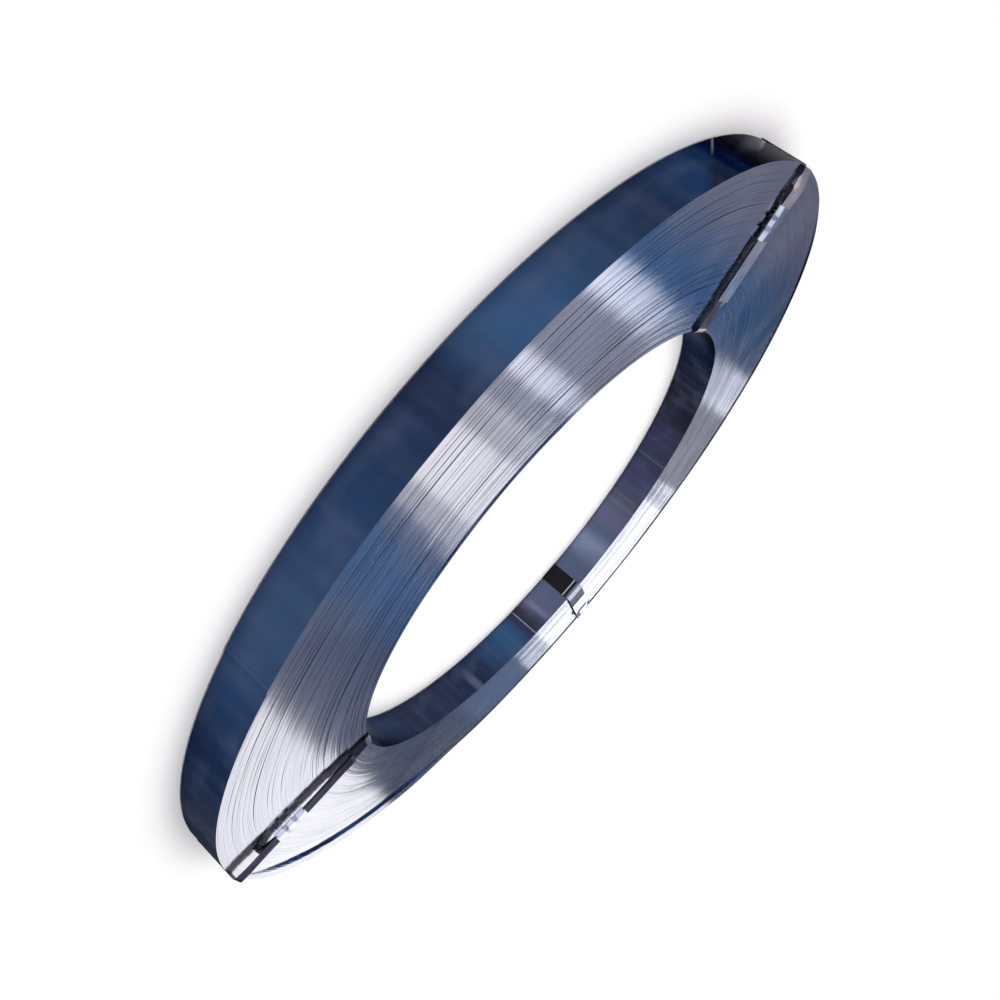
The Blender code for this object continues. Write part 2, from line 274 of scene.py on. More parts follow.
# The tints by their place round the coil, in turns from the first binding, and the roughness.
FACE_TINTS = (
    (0.000, BLACK_TINT), (0.060, DEEP_TINT), (0.078, MIDDLE_TINT), (0.095, DEEP_TINT),
    (0.150, BRIGHT_TINT), (0.170, DEEP_TINT), (0.200, MIDDLE_TINT), (0.235, SOFT_TINT),
    (0.260, MIDDLE_TINT), (0.285, DEEP_TINT), (0.320, BLACK_TINT), (0.440, GREY_TINT),
    (0.548, DEEP_TINT), (0.570, DEEP_TINT), (0.600, BRIGHT_TINT), (0.612, MIDDLE_TINT),
    (0.614, END_SHADOW_TINT), (0.628, END_SHADOW_TINT), (0.630, LAVENDER_TINT), (0.650, SLATE_TINT),
    (0.685, SLATE_TINT), (0.698, HIGHLIGHT_STREAK_TINT), (0.712, SLATE_TINT), (0.728, LAVENDER_TINT),
    (0.745, DUSK_TINT), (0.765, PLUM_TINT), (0.780, PURPLE_TINT), (0.785, GREY_TINT),
    (0.800, PURPLE_TINT), (0.830, BLACK_TINT), (1.000, BLACK_TINT),
)
FACE_ROUGHNESS = (
    (0.00, 0.40), (0.05, 0.22), (0.28, 0.20), (0.325, 0.45), (0.34, 0.80), (0.37, 0.80), (0.42, 0.20),
)
TINT_DRIFT = 0.03
WALL_SIDES = (0.4, 0.6)
# How the steels shine edge-on. Beside the first binding the blued face's shine is turned down, a
# painted shade.
SLIT_EDGE_SHINE = (0.74, 0.77, 0.84)
FACE_SHINE = (0.44, 0.48, 0.56)
DARK_END_SHINE = (0.29, 0.285, 0.30)
DARK_END_UNTIL = (0.045, 0.065)
DARK_END_FROM = (0.93, 0.97)
# Straight upright light lines on the strip's face, partly scratches and partly painted highlights
# along the strip's ends and in the bore: place round the coil in turns, half width, strength, and
# the share of the height where they begin.
RIM_LINES = ((0.2507, 0.0005, 0.04, 0.0),)
BORE_LINES = (
    (0.5540, 0.0050, 0.16, 0.5), (0.6190, 0.0006, 0.60, 0.0), (0.6340, 0.0030, 0.14, 0.2),
    (0.7400, 0.0022, 0.06, 0.0), (0.7470, 0.0012, 0.07, 0.0), (0.7861, 0.0006, 0.12, 0.0),
)
LINE_CORE = 0.4
LINE_BEGIN_FADE = (-0.3, 0.2)
# Two slanting painted highlight lines on the rim, with a painted sheen beside the broad one: slant
# over the height, and place at the foot.
THIN_GLINT = (0.028, 0.048)
THIN_GLINT_HALF = 0.0012
THIN_GLINT_STRENGTH = 0.8
THIN_GLINT_FADE = (0.05, 0.40)
BLACK_STRIP_EDGE = (-0.003, 0.004)
BROAD_GLINT = (0.050, 0.0031)
BROAD_GLINT_HALF = 0.0035
BROAD_GLINT_FADE = (0.3, 0.65)
PAINTED_SHEEN_WIDTH = 0.022
PAINTED_SHEEN_STRENGTH = 0.5
# Where the lips' proud turns are painted vivid blue, a painted reflection: places round the coil,
# and how far in.
OUTER_LIP_PLACES = ((0.36, 0.38), (0.54, 0.56))
OUTER_LIP_SHARES = ((0.80, 0.82), (0.985, 0.992))
OUTER_LIP_BLUE = 0.7
INNER_LIP_PLACES = ((0.115, 0.135), (0.22, 0.26))
INNER_LIP_DEPTH = (0.0030, 0.0040)
INNER_LIP_BLUE = 0.8
LIP_SIDE = (0.0012, 0.0006)
# Noises over two coordinates: how finely each is sampled, seed and detail.
TURN_NOISE = (0.37, 9.0, 0.0, 2.0)
GROUP_NOISE = (0.16, 5.0, 3.0, 3.0)
BRUSH_NOISE = (2600.0, 80.0, 0.0, 3.0)
DRIFT_NOISE = (22.0, 8.0, 0.0, 2.0)
ROLLED_NOISE = (24.0, 1800.0, 0.0, 3.0)
MOTTLE_NOISE = (420.0, 260.0, 1.0, 4.0)
STREAK_NOISE = (150.0, 9.0, 5.0, 3.0)
CLOUD_NOISE = (50.0, 50.0, 9.0, 3.0)
PATCH_GRAIN = (3.0, 110.0)
STEEL_DETAIL = 3.0
# How much of each noise a tone or a bump has.
SLIT_EDGE_SHARES = (0.30, 0.30, 0.40)
BLUED_SHARES = (0.6, 0.4)
STEEL_SHARES = (0.5, 0.5)
# A noise's two limits, and what it gives there.
SLIT_EDGE_ROUGHNESS = (0.2, 0.8, 0.125, 0.14)
CLOUD_COVER = (0.50, 0.78, 0.0, 0.35)
MOTTLE_COVER = (0.55, 0.80, 0.0, 0.22)
STREAK_COVER = (0.45, 0.75, 0.0, 0.16)
MOTTLE_DULLING = (0.3, 0.7, -0.03, 0.05)
STEEL_DULLING = (0.3, 0.7, -0.05, 0.07)
STEEL_TONES = (0.35, 0.65)
# Bumps: strength and height.
SLIT_EDGE_BUMP = (0.07, 0.00005)
BLUED_BUMP = (0.25, 0.00003)
STEEL_BUMP = (0.3, 0.00004)
SLIT_EDGE_TONES = (
    (0.25, (0.33, 0.335, 0.38)),
    (0.42, (0.37, 0.37, 0.41)),
    (0.58, (0.39, 0.39, 0.425)),
    (0.78, (0.43, 0.425, 0.455)),
)
SLIT_EDGE_BRUSHING = 0.7
BRUSHING_TURN = 0.25
# Steels: dark and light tone, then roughness and how finely the grain is sampled along the
# azimuth and across it.
STRAP_GRAIN = (0.19, 1500.0, 30.0)
# The straps' undersides and sides: the strap steel painted near black, a painted shade.
UNDERSIDE_SHADE_STEEL = ((0.026, 0.024, 0.043), (0.042, 0.040, 0.068), 0.25, 1500.0, 30.0)
# Cut edges: bare steel, brightened into painted highlight lines.
CUT_STEEL = ((0.50, 0.51, 0.58), (0.68, 0.69, 0.76), 0.28, 300.0, 300.0)
SEAL_ZINC = ((0.20, 0.24, 0.36), (0.36, 0.39, 0.50), 0.22, 400.0, 60.0)
# Depths below the coil's top where a strap's wall is painted dark as shade and where its painted
# highlight line is, and how far from the bore its bend shines.
STRAP_WALL_SHADE = (0.014, 0.014, 0.018)
STRAP_SHADE_DEPTH = (0.0030, 0.0008)
WALL_GLINT_DEPTH = 0.0060
WALL_GLINT_EDGE = (0.0002, 0.0007)
BEND_DEPTH = (0.0030, 0.0045)
BRIGHT_FADE = 0.002


def turns_wound(azimuth, start):
    """How far round from the free end at azimuth start a place lies, from 0 to 1."""
    return ((azimuth - start) % 360.0) / 360.0


def bore_radius(azimuth):
    return BORE_RADIUS + STRIP_PITCH_CAD * turns_wound(azimuth, INNER_END_AZIMUTH)


def rim_radius(azimuth):
    return COIL_RADIUS - STRIP_PITCH_CAD * turns_wound(OUTER_END_AZIMUTH, azimuth)


def face_radius(share):
    """The radius at a share of the way from the bore to the rim."""
    return BORE_RADIUS + (COIL_RADIUS - BORE_RADIUS) * share


def lifted(thicknesses):
    """The height of a point so many strap thicknesses above the coil's face."""
    return COIL_TOP + BINDING_THICKNESS * thicknesses


def eased(value, low, high):
    """A smooth step from 0 below low to 1 above high."""
    share = min(max((value - low) / (high - low), 0.0), 1.0)
    return share * share * (3.0 - 2.0 * share)


def between(value, up, down):
    """A smooth step up, and another down again."""
    return eased(value, *up) * (1.0 - eased(value, *down))


# Small helpers for meshes and materials.
def mesh_piece(name, points, faces, looks, face_looks=None):
    mesh = bpy.data.meshes.new(name)
    mesh.from_pydata(points, [], faces)
    for look in looks:
        mesh.materials.append(look)
    if face_looks:
        mesh.polygons.foreach_set("material_index", face_looks)
    mesh.shade_smooth()
    mesh.set_sharp_from_angle(angle=math.radians(SHARP_ANGLE))
    mesh.update()
    obj = bpy.data.objects.new(name, mesh)
    bpy.context.scene.collection.objects.link(obj)
    return obj


class Nodes:
    """Adds shader nodes to one material or world and joins them."""

    def __init__(self, owner):
        owner.use_nodes = True
        self.tree = owner.node_tree
        self.tree.nodes.clear()

    def add(self, kind, inputs=None, **settings):
        node = self.tree.nodes.new(kind)
        for key, value in settings.items():
            setattr(node, key, value)
        for key, value in (inputs or {}).items():
            self.put(node, key, value)
        return node

    def put(self, node, key, value):
        """Joins an input to another node's output or sets it, a colour by its three parts."""
        socket = node.inputs[key]
        if isinstance(value, bpy.types.NodeSocket):
            self.tree.links.new(value, socket)
        elif socket.type == "RGBA":
            socket.default_value = (*value, 1.0)
        else:
            socket.default_value = value

    def maths(self, operation, *values):
        node = self.add("ShaderNodeMath", operation=operation)
        for index, value in enumerate(values):
            self.put(node, index, value)
        return node.outputs[0]

    def product(self, *values):
        result, *others = values
        for other in others:
            result = self.maths("MULTIPLY", result, other)
        return result

    def weighted(self, *pairs):
        """The sum of values, each times its weight."""
        result, *others = [self.product(value, weight) for value, weight in pairs]
        for other in others:
            result = self.maths("ADD", result, other)
        return result

    def distance(self, value, other):
        return self.maths("ABSOLUTE", self.maths("SUBTRACT", value, other))

    def mix(self, share, first, second):
        node = self.add("ShaderNodeMix", data_type="RGBA")
        for key, value in ((0, share), (6, first), (7, second)):
            self.put(node, key, value)
        return node.outputs[2]

    def combine(self, x, y, z):
        return self.add("ShaderNodeCombineXYZ", {0: x, 1: y, 2: z}).outputs[0]

    def noise(self, vector, detail, scale=1.0):
        inputs = {"Vector": vector, "Scale": scale, "Detail": detail}
        return self.add("ShaderNodeTexNoise", inputs).outputs["Fac"]

    def grain(self, first, second, row):
        """Noise over two coordinates, as a row of the table of noises has it."""
        first_scale, second_scale, seed, detail = row
        place = self.combine(self.product(first, first_scale), self.product(second, second_scale), seed)
        return self.noise(place, detail)

    def span(self, value, low, high, new_low=0.0, new_high=1.0):
        inputs = {0: value, 1: low, 2: high, 3: new_low, 4: new_high}
        return self.add("ShaderNodeMapRange", inputs).outputs[0]

    def fade(self, value, low, high, strength=1.0):
        """From strength at low down to nothing at high."""
        return self.span(value, low, high, strength, 0.0)

    def smooth_step(self, value, low, high):
        inputs = {0: value, 1: low, 2: high}
        return self.add("ShaderNodeMapRange", inputs, interpolation_type="SMOOTHSTEP").outputs[0]

    def ramp(self, value, stops):
        node = self.add("ShaderNodeValToRGB", {0: value})
        while len(node.color_ramp.elements) < len(stops):
            node.color_ramp.elements.new(0.5)
        for element, (place, colour) in zip(node.color_ramp.elements, stops):
            element.position = place
            element.color = (*colour, 1.0)
        return node.outputs["Color"]

    def bump(self, height, strength, distance):
        inputs = {"Strength": strength, "Distance": distance, "Height": height}
        return self.add("ShaderNodeBump", inputs).outputs[0]

    def metal(self, inputs):
        """Finishes a material as metal with these inputs."""
        shader = self.add("ShaderNodeBsdfPrincipled", {"Metallic": 1.0, **inputs})
        self.shade(shader.outputs[0])

    def shade(self, shader):
        self.add("ShaderNodeOutputMaterial", {"Surface": shader})


def polar_coordinates(nodes):
    """Radius, azimuth in turns with its seam under the first binding, and height."""
    place = nodes.add("ShaderNodeTexCoord").outputs["Object"]
    turn = -math.radians(BINDINGS[0]["azimuth"] - 180.0)
    turned = nodes.add("ShaderNodeVectorRotate", {"Vector": place, "Angle": turn}, rotation_type="Z_AXIS")
    x, y, z = nodes.add("ShaderNodeSeparateXYZ", {0: turned.outputs[0]}).outputs
    radius = nodes.maths("SQRT", nodes.maths("ADD", nodes.product(x, x), nodes.product(y, y)))
    azimuth = nodes.maths("DIVIDE", nodes.maths("ARCTAN2", y, x), math.tau)
    return radius, azimuth, z


# The materials.
def slit_edge_material():
    """The coil's faces: the strip's slit edges, each turn a little different."""
    look = bpy.data.materials.new("slit_edge_steel")
    nodes = Nodes(look)
    radius, azimuth, _ = polar_coordinates(nodes)
    wound = nodes.maths("DIVIDE", nodes.maths("SUBTRACT", radius, BORE_RADIUS), SPIRAL_PITCH)
    turn = nodes.maths("FLOOR", nodes.maths("SUBTRACT", wound, azimuth))
    own = nodes.add("ShaderNodeTexWhiteNoise", {"W": turn}, noise_dimensions="1D").outputs["Value"]
    slow = nodes.grain(turn, azimuth, TURN_NOISE)
    group = nodes.grain(wound, azimuth, GROUP_NOISE)
    brushed = nodes.grain(radius, azimuth, BRUSH_NOISE)
    tone = nodes.weighted(*zip((own, slow, group), SLIT_EDGE_SHARES))
    tangent = nodes.add("ShaderNodeTangent", direction_type="RADIAL", axis="Z")
    nodes.metal({
        "Base Color": nodes.ramp(tone, SLIT_EDGE_TONES),
        "Roughness": nodes.span(tone, *SLIT_EDGE_ROUGHNESS),
        "Specular Tint": SLIT_EDGE_SHINE,
        "Anisotropic": SLIT_EDGE_BRUSHING,
        "Anisotropic Rotation": BRUSHING_TURN,
        "Tangent": tangent.outputs[0],
        "Normal": nodes.bump(brushed, *SLIT_EDGE_BUMP),
    })
    return look


def past_slant(nodes, place, rise, slant, foot):
    """How far a place lies past a slanting line."""
    return nodes.maths("SUBTRACT", place, nodes.maths("MULTIPLY_ADD", rise, slant, foot))


def painted_glint_lines(nodes, place, rise, colour):
    """Two slanting painted highlight lines near the first binding, a painted sheen beside the broad one,
    and the blacker strip before them.
    """
    past = past_slant(nodes, place, rise, *THIN_GLINT)
    colour = nodes.mix(nodes.span(past, *BLACK_STRIP_EDGE), BLACK_TINT, colour)
    thin = nodes.fade(nodes.maths("ABSOLUTE", past), 0.0, THIN_GLINT_HALF, THIN_GLINT_STRENGTH)
    thin = nodes.product(thin, nodes.fade(rise, *THIN_GLINT_FADE))
    colour = nodes.mix(thin, colour, GLINT_COLOUR)
    past = past_slant(nodes, place, rise, *BROAD_GLINT)
    glow = nodes.fade(past, 0.0, PAINTED_SHEEN_WIDTH, PAINTED_SHEEN_STRENGTH)
    glow = nodes.product(glow, nodes.maths("GREATER_THAN", past, 0.0))
    bright = nodes.fade(nodes.maths("ABSOLUTE", past), 0.0, BROAD_GLINT_HALF)
    shine = nodes.product(nodes.maths("MAXIMUM", glow, bright), nodes.fade(rise, *BROAD_GLINT_FADE))
    return nodes.mix(shine, colour, GLINT_COLOUR)


def lip_sides(nodes, radius, place, height, colour):
    """The strip's face painted vivid blue where the two lips' turns stand proud, a painted reflection."""
    begin, end = OUTER_LIP_PLACES
    inner_share, rim_share = OUTER_LIP_SHARES
    outer = nodes.product(
        nodes.span(place, *begin),
        nodes.fade(place, *end),
        nodes.span(radius, *map(face_radius, inner_share), 0.0, OUTER_LIP_BLUE),
        nodes.fade(radius, *map(face_radius, rim_share)),
    )
    begin, end = INNER_LIP_PLACES
    near, deep = INNER_LIP_DEPTH
    inner = nodes.product(
        nodes.span(place, *begin),
        nodes.fade(place, *end),
        nodes.fade(radius, BORE_RADIUS + near, BORE_RADIUS + deep, INNER_LIP_BLUE),
    )
    low, high = LIP_SIDE
    side = nodes.span(height, COIL_TOP - low, COIL_TOP - high)
    return nodes.mix(nodes.product(nodes.maths("MAXIMUM", outer, inner), side), colour, VIVID_TINT)


def upright_lines(nodes, place, rise, wall, rows, colour):
    """Straight upright light lines on one of the coil's two walls, partly scratches and partly painted
    highlights.
    """
    before, after = LINE_BEGIN_FADE
    for at, width, strength, begin in rows:
        line = nodes.fade(nodes.distance(place, at), LINE_CORE * width, width, strength)
        line = nodes.product(line, nodes.span(rise, begin + before, begin + after), wall)
        colour = nodes.mix(line, colour, LINE_COLOUR)
    return colour


def blued_face_material():
    """The strip's rolled and blued face, seen on the rim and in the bore."""
    look = bpy.data.materials.new("blued_strip_face")
    nodes = Nodes(look)
    radius, azimuth, height = polar_coordinates(nodes)
    place = nodes.maths("ADD", azimuth, 0.5)
    rise = nodes.span(height, COIL_BOTTOM, COIL_TOP)
    drift = nodes.grain(azimuth, height, DRIFT_NOISE)
    rolled = nodes.grain(azimuth, height, ROLLED_NOISE)
    mottle = nodes.grain(azimuth, height, MOTTLE_NOISE)
    streaks = nodes.grain(azimuth, height, STREAK_NOISE)
    clouds = nodes.grain(azimuth, height, CLOUD_NOISE)
    on_rim = nodes.span(radius, *map(face_radius, WALL_SIDES))
    on_bore = nodes.maths("SUBTRACT", 1.0, on_rim)
    past_dark_end = nodes.product(nodes.span(place, *DARK_END_UNTIL), nodes.fade(place, *DARK_END_FROM))

    drifted = nodes.maths("MULTIPLY_ADD", nodes.maths("SUBTRACT", drift, 0.5), TINT_DRIFT, place)
    # Tints by place, with painted shade at the black stops, a painted shadow and a painted highlight.
    colour = nodes.ramp(drifted, FACE_TINTS)
    # On the rim near the first binding: painted highlight lines and a painted sheen.
    colour = nodes.mix(on_rim, colour, painted_glint_lines(nodes, place, rise, colour))
    # A painted reflection: vivid blue on the lips' proud turns.
    colour = lip_sides(nodes, radius, place, height, colour)
    # Upright light lines, partly scratches and partly painted highlights.
    colour = upright_lines(nodes, place, rise, on_rim, RIM_LINES, colour)
    colour = upright_lines(nodes, place, rise, on_bore, BORE_LINES, colour)
    cloudy = nodes.product(nodes.span(clouds, *CLOUD_COVER), past_dark_end)
    colour = nodes.mix(cloudy, colour, SLATE_TINT)
    colour = nodes.mix(nodes.span(mottle, *MOTTLE_COVER), colour, MOTTLE_TINT)
    colour = nodes.mix(nodes.span(streaks, *STREAK_COVER), colour, WORN_TINT)
    dulled = nodes.ramp(place, [(at, (value, value, value)) for at, value in FACE_ROUGHNESS])
    # Beside the first binding the edge-on shine is turned down, a painted shade.
    nodes.metal({
        "Base Color": colour,
        "Roughness": nodes.maths("ADD", dulled, nodes.span(mottle, *MOTTLE_DULLING)),
        "Specular Tint": nodes.mix(past_dark_end, DARK_END_SHINE, FACE_SHINE),
        "Normal": nodes.bump(nodes.weighted(*zip((rolled, mottle), BLUED_SHARES)), *BLUED_BUMP),
    })
    return look


def strap_painted_shade_and_glint(nodes, height, colour):
    """A strap's colour, painted dark as shade down the coil's walls but for a painted highlight line near
    the top.
    """
    low, high = STRAP_SHADE_DEPTH
    colour = nodes.mix(nodes.span(height, COIL_TOP - low, COIL_TOP - high), STRAP_WALL_SHADE, colour)
    line = nodes.fade(nodes.distance(height, COIL_TOP - WALL_GLINT_DEPTH), *WALL_GLINT_EDGE)
    return nodes.mix(line, colour, GLINT_COLOUR)


def strap_shine(nodes, radius, row):
    """A strap's edge-on shine: the row's own, turned down as painted shade, but full at the bore's bend
    and past bright_from.
    """
    start = face_radius(row["bright_from"])
    near, deep = BEND_DEPTH
    bend = nodes.fade(radius, BORE_RADIUS + near, BORE_RADIUS + deep)
    full = nodes.maths("MAXIMUM", nodes.span(radius, start, start + BRIGHT_FADE), bend)
    return nodes.mix(full, (row["edge_on"],) * 3, WHITE)


def steel_material(name, dark, light, roughness, grain, stretch, row=None):
    """Plain steel with a lengthwise grain, for the seals, cut ends and, given its row, a strap, which
    then gets painted shade and a painted highlight line.
    """
    look = bpy.data.materials.new(name)
    nodes = Nodes(look)
    radius, azimuth, height = polar_coordinates(nodes)
    along = nodes.product(azimuth, grain)
    drawn = nodes.combine(nodes.product(radius, stretch), along, nodes.product(height, stretch))
    lines = nodes.noise(drawn, STEEL_DETAIL)
    patches = nodes.noise(nodes.add("ShaderNodeTexCoord").outputs["Object"], *PATCH_GRAIN)
    tone = nodes.weighted(*zip((lines, patches), STEEL_SHARES))
    colour = nodes.mix(nodes.span(tone, *STEEL_TONES), dark, light)
    low, high, shinier, duller = STEEL_DULLING
    # Given a row: painted shade down the strap's walls, a painted highlight line, and the edge-on shine
    # turned down as painted shade.
    nodes.metal({
        "Base Color": strap_painted_shade_and_glint(nodes, height, colour) if row else colour,
        "Roughness": nodes.span(tone, low, high, roughness + shinier, roughness + duller),
        "Specular Tint": strap_shine(nodes, radius, row) if row else WHITE,
        "Normal": nodes.bump(tone, *STEEL_BUMP),
    })
    return look


# The coil.
def group_height(index, relief):
    """How far a group of turns stands below the tallest."""
    return relief * 0.5 * (1.0 - math.cos(RELIEF_PHASE_STEP * index))


def group_index(radius):
    return sum(radius > face_radius(share) for share in GROUP_SHARES)


def group_drop(radius):
    """How far a group of turns stands low here, part of the CAD's. It steps down and rises slowly."""
    index = group_index(radius)
    edges = (BORE_RADIUS, *map(face_radius, GROUP_SHARES), COIL_RADIUS)
    way = (radius - edges[index]) / (edges[index + 1] - edges[index])
    here = group_height(index, TOP_RELIEF * RELIEF_KEPT)
    after = group_height(index + 1, TOP_RELIEF * RELIEF_KEPT)
    return here + min(after - here, 0.0) * way


def turn_bunches(generator, count):
    """Bunches of turns wound together: the first turn of each, how many, and the step before it."""
    deep = {round(share * SPIRAL_TURNS) for share in DEEP_STEP_SHARES}
    starts = [0]
    while starts[-1] < count:
        after = starts[-1] + generator.choice(BUNCH_SIZES)
        starts.append(min([after, *(turn for turn in deep if turn > starts[-1])]))
    low, high = BUNCH_STEP
    bunches = []
    for start, end in zip(starts, starts[1:]):
        step = low + (high - low) * generator.random() ** SMALL_STEP_POWER
        if start in deep:
            step = DEEP_STEP * generator.uniform(*DEEP_STEP_SPREAD)
        bunches.append((start, end - start, step))
    return bunches


def turn_rows(generator):
    """The drop of the top, the rise of the foot, the tilt and the wave, for each turn of the strip.

    Going outward, each bunch starts low and climbs back, in small steps and by tilting.
    """
    rows = []
    for start, turns, step in turn_bunches(generator, int(SPIRAL_TURNS) + 3):
        waves = generator.randint(*WAVES)
        phase = generator.uniform(0.0, math.tau)
        for number in range(start, start + turns):
            radius = min(BORE_RADIUS + SPIRAL_PITCH * number, COIL_RADIUS - SPIRAL_PITCH)
            drop = group_drop(radius) + step * (1.0 - (number - start + 0.5) / turns)
            drop += abs(generator.gauss(0.0, HEIGHT_JITTER))
            tilt = TILT_SHARE * step / (turns * STRIP_THICKNESS) + generator.gauss(0.0, TILT_JITTER)
            rise = group_height(group_index(radius) + 1, BOTTOM_RELIEF)
            rows.append((drop, rise, tilt, (waves, phase + generator.gauss(0.0, WAVE_PHASE_JITTER))))
    return rows


def lip_height(share, azimuth):
    """How far the turns along the coil's two edges stand proud of the face, or dip beside them."""
    past = (azimuth - LIP_START) % 360.0
    way = min(max((past - LIP_EDGE_START) / LIP_EDGE_LENGTH, 0.0), 1.0)
    line = LIP_EDGE_AT_RIM - LIP_EDGE_MOVE * way * (2.0 - way)
    outer = between(past, LIP_FROM, LIP_UNTIL)
    outside = eased(share, line - LIP_EDGE_INSIDE, line + LIP_EDGE_OUTSIDE)
    dip = outer * max(0.0, 1.0 - abs(line - share) / LIP_DIP_WIDTH) * (1.0 - outside)
    inner = between(azimuth, INNER_LIP_FROM, INNER_LIP_UNTIL)
    inside = eased(share, *INNER_LIP_EDGE)
    inner_dip = inner * max(0.0, 1.0 - share / LIP_DIP_WIDTH) * inside
    back = 1.0 - eased(abs((azimuth - EDGE_TURN_FRONT) % 360.0 - 180.0), *EDGE_TURN_FADE)
    innermost = INNERMOST_SHARE * (1.0 - eased(share, *INNERMOST_TURN))
    edge = back * (eased(share, *OUTERMOST_TURN) + innermost)
    return (
        LIP_RISE * (outer * outside)
        - LIP_DIP * dip
        + INNER_LIP_RISE * (inner * (1.0 - inside) - inner_dip)
        + EDGE_TURN_RISE * edge
    )


def turn_number(place):
    """Which turn a place belongs to. The count steps up under the first binding."""
    seam = turns_wound(BINDINGS[0]["azimuth"], INNER_END_AZIMUTH)
    return math.floor(place - seam) + 1


def strip_section(rows, place):
    """The strip's section at a place counted in turns: radius and height, outer foot first."""
    drop, rise, tilt, (waves, phase) = rows[turn_number(place)]
    degrees = (INNER_END_AZIMUTH + 360.0 * place) % 360.0
    azimuth = math.radians(degrees)
    inner = BORE_RADIUS + SPIRAL_PITCH * place
    outer = inner + STRIP_THICKNESS
    lean = tilt * STRIP_THICKNESS / 2
    wave = WAVE_HEIGHT * math.sin(waves * azimuth + phase)
    lip = lip_height(SPIRAL_PITCH * place / (COIL_RADIUS - BORE_RADIUS), degrees)
    top = COIL_TOP - drop - abs(lean) + wave + lip
    foot = COIL_BOTTOM + rise
    return azimuth, (
        (outer, foot),
        (outer, top + lean - EDGE_BEVEL),
        (outer - EDGE_BEVEL, top + lean),
        (inner + EDGE_BEVEL, top - lean),
        (inner, top - lean - EDGE_BEVEL),
        (inner, foot),
    )


def build_strip(name, rows, first, last, looks):
    """A stretch of the spiral from one place to another, counted in turns.

    The slit edges have the first look and the strip's two faces the second.
    """
    steps = round((last - first) * STEPS_PER_TURN)
    wide = SECTION_POINTS
    points = []
    faces = []
    face_looks = []
    for step in range(steps + 1):
        azimuth, section = strip_section(rows, first + (last - first) * step / steps)
        cos, sin = math.cos(azimuth), math.sin(azimuth)
        points += [(radius * cos, radius * sin, height) for radius, height in section]
    for step in range(steps):
        base = step * wide
        for index in range(wide):
            after = (index + 1) % wide
            faces.append((base + index, base + wide + index, base + wide + after, base + after))
            face_looks.append(1 if index in FACE_SIDES else 0)
    faces.append(tuple(range(wide)))
    faces.append(tuple(reversed(range(steps * wide, steps * wide + wide))))
    face_looks += [0, 0]
    return mesh_piece(name, points, faces, looks, face_looks)


def build_coil(looks):
    rows = turn_rows(random.Random(SEED))
    inner = build_strip("coil_inner_turns", rows, 0.0, SPLIT_TURN, looks)
    outer = build_strip("coil_outer_turns", rows, SPLIT_TURN, SPIRAL_TURNS, looks)
    return inner, outer


# The bindings.
def arc_points(centre, radius, start, end, segments):
    """Points of an arc in the radial plane, angles in degrees from outward to up."""
    points = []
    for index in range(segments + 1):
        angle = math.radians(start + (end - start) * index / segments)
        points.append((centre[0] + radius * math.cos(angle), centre[1] + radius * math.sin(angle)))
    return points


def eased_run(start, end, segments, first=True):
    """Points from start to end whose height changes smoothly, level at both ends."""
    points = []
    for index in range(0 if first else 1, segments + 1):
        share = index / segments
        ease = eased(share, 0.0, 1.0)
        points.append((start[0] + (end[0] - start[0]) * share, start[1] + (end[1] - start[1]) * ease))
    return points


def binding_path(row):
    """The strap's middle line in the radial plane, as distance from the axis and height."""
    offset = CLEARANCE + BINDING_THICKNESS / 2
    rim = rim_radius(row["azimuth"])
    bore = bore_radius(row["azimuth"]) - BORE_STAND_OFF
    seal_in = face_radius(row["seal_in"])
    seal_out = face_radius(row["seal_out"])
    upper_seal = lifted(row["lift_seal"])
    lower_seal = upper_seal - BINDING_THICKNESS - LAYER_GAP
    crest = (face_radius(row["crest"]), lifted(row["lift_crest"]))
    free_end = (face_radius(row["upper_end"]), lifted(row["lift_end"]))
    # Upper layer: the free end's curl, the seal, the crest and over the rim's edge.
    path = [(free_end[0], free_end[1] + END_CURL)]
    path += eased_run((free_end[0] + END_CURL_LENGTH, free_end[1]), (seal_in, upper_seal), RUN_STEPS)
    path += eased_run((seal_in, upper_seal), (seal_out, upper_seal), SEAL_STEPS, first=False)
    path += eased_run((seal_out, upper_seal), crest, TAIL_STEPS, first=False)
    corner = (rim + offset - SHOULDER_RADIUS, lifted(row["lift_corner"]) - SHOULDER_RADIUS)
    fall = math.degrees(math.atan2(crest[1] - corner[1] - SHOULDER_RADIUS, corner[0] - crest[0]))
    shoulder = arc_points(corner, SHOULDER_RADIUS, 90.0 - fall, 0.0, CORNER_STEPS)
    for index in range(1, CREST_STEPS):
        path.append(tuple(a + (b - a) * index / CREST_STEPS for a, b in zip(crest, shoulder[0])))
    path += shoulder
    # Down the rim, under the coil and up the bore.
    path += arc_points((rim, COIL_BOTTOM), offset, 0.0, -90.0, CORNER_STEPS)
    path += arc_points((bore, COIL_BOTTOM), offset, -90.0, -180.0, CORNER_STEPS)
    bow, bulge, rise = row["bow"]
    foot = (bore - bulge, COIL_TOP + rise - bow)
    for index in range(LEAD_STEPS):
        ease = eased(index, 0, LEAD_STEPS)
        below = BOW_LEAD * (1.0 - index / LEAD_STEPS)
        path.append((bore - offset + (offset - bulge) * ease, foot[1] - below))
    path += arc_points((foot[0] + bow, foot[1]), bow, 180.0, 90.0, BOW_STEPS)
    # Lower layer: up to the seal and on to its free end near the face.
    path += eased_run(path[-1], (seal_in, lower_seal), RUN_STEPS, first=False)
    path += eased_run((seal_in, lower_seal), (seal_out, lower_seal), SEAL_STEPS, first=False)
    end = (face_radius(row["lower_end"]), COIL_TOP + offset + LOWER_TAIL_DROOP)
    path += eased_run((seal_out, lower_seal), end, TAIL_STEPS, first=False)
    return path


